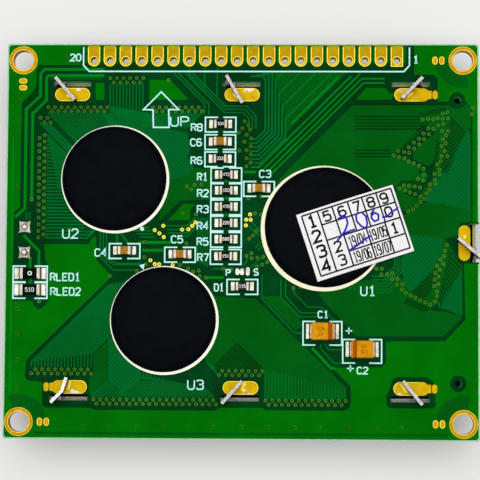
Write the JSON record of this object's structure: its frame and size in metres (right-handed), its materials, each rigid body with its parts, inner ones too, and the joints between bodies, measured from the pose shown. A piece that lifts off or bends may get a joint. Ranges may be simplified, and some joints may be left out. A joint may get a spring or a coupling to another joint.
{
  "type": "graphic lcd module",
  "caption": "Graphic LCD module with a chip-on-board circuit board, epoxy blobs, a pin header row and a folded steel bezel whose twisted hook tabs clamp the board.",
  "frame": {"origin": "centre of the bezel's front face, which lies on the table", "axes": "+X along the display's long side, +Y towards the header row, +Z out of the back of the circuit board"},
  "size_m": [0.0754, 0.0628, 0.0111],
  "materials": {
    "green_circuit_board": "green solder mask over copper, satin gloss",
    "black_painted_steel": "semi-gloss black paint on steel sheet, bare bright cut edges",
    "polariser_film": "yellow-green display film, satin",
    "display_glass": "clear float glass",
    "seal_epoxy": "printed epoxy seal",
    "zebra_rubber": "layered conductive silicone rubber",
    "white_film": "white polyester film",
    "clear_acrylic": "polished clear acrylic",
    "white_moulding": "white moulded plastic",
    "led_board": "white laminate strip",
    "led_body": "side-firing LED bodies",
    "tinned_wire": "tinned wire",
    "solder": "bright solder",
    "gold_plating": "thin gold plating on copper, satin",
    "tinned_strip": "tinned terminal strip",
    "label_paper": "white self-adhesive paper, printed grid",
    "black_epoxy": "black potting epoxy, soft sheen",
    "cream_ink": "thick cream ink",
    "chip_resistor": "black glazed top, tinned end caps",
    "chip_diode": "black body, tinned end caps",
    "ceramic_capacitor": "tan ceramic, tinned end caps",
    "tantalum_moulding": "amber moulded epoxy with a brown polarity band"
  },
  "bodies": {
    "root": {"backlight_frame": "white_moulding", "backlight_pins": "tinned_wire", "backlight_solder_joints": "solder", "bezel": "black_painted_steel", "ceramic_capacitor_c3": "ceramic_capacitor", "ceramic_capacitor_c4": "ceramic_capacitor", "ceramic_capacitor_c5": "ceramic_capacitor", "ceramic_capacitor_c6": "ceramic_capacitor", "chip_lands": "solder", "circuit_board": "green_circuit_board", "dam_ring_1": "cream_ink", "dam_ring_2": "cream_ink", "dam_ring_3": "cream_ink", "diffuser_sheet": "white_film", "diode_d1": "chip_diode", "epoxy_blob_1": "black_epoxy", "epoxy_blob_2": "black_epoxy", "epoxy_blob_3": "black_epoxy", "front_glass": "display_glass", "front_polariser": "polariser_film", "glass_seal": "seal_epoxy", "header_pads": "gold_plating", "inspection_label": "label_paper", "jumper_pads": "gold_plating", "led_chips": "led_body", "led_resistor_1": "chip_resistor", "led_resistor_2": "chip_resistor", "led_strip_board": "led_board", "light_guide": "clear_acrylic", "mounting_rings": "gold_plating", "rear_glass": "display_glass", "rear_polariser": "polariser_film", "reflector_sheet": "white_film", "resistor_r1": "chip_resistor", "resistor_r2": "chip_resistor", "resistor_r3": "chip_resistor", "resistor_r4": "chip_resistor", "resistor_r5": "chip_resistor", "resistor_r6": "chip_resistor", "resistor_r7": "chip_resistor", "resistor_r8": "chip_resistor", "solder_jumper": "solder", "tab_pads": "gold_plating", "tantalum_capacitor_c1": "tantalum_moulding", "tantalum_capacitor_c2": "tantalum_moulding", "tantalum_terminals": "tinned_strip", "zebra_strip_bottom": "zebra_rubber", "zebra_strip_right": "zebra_rubber", "zebra_strip_top": "zebra_rubber"}
  },
  "joints": []
}
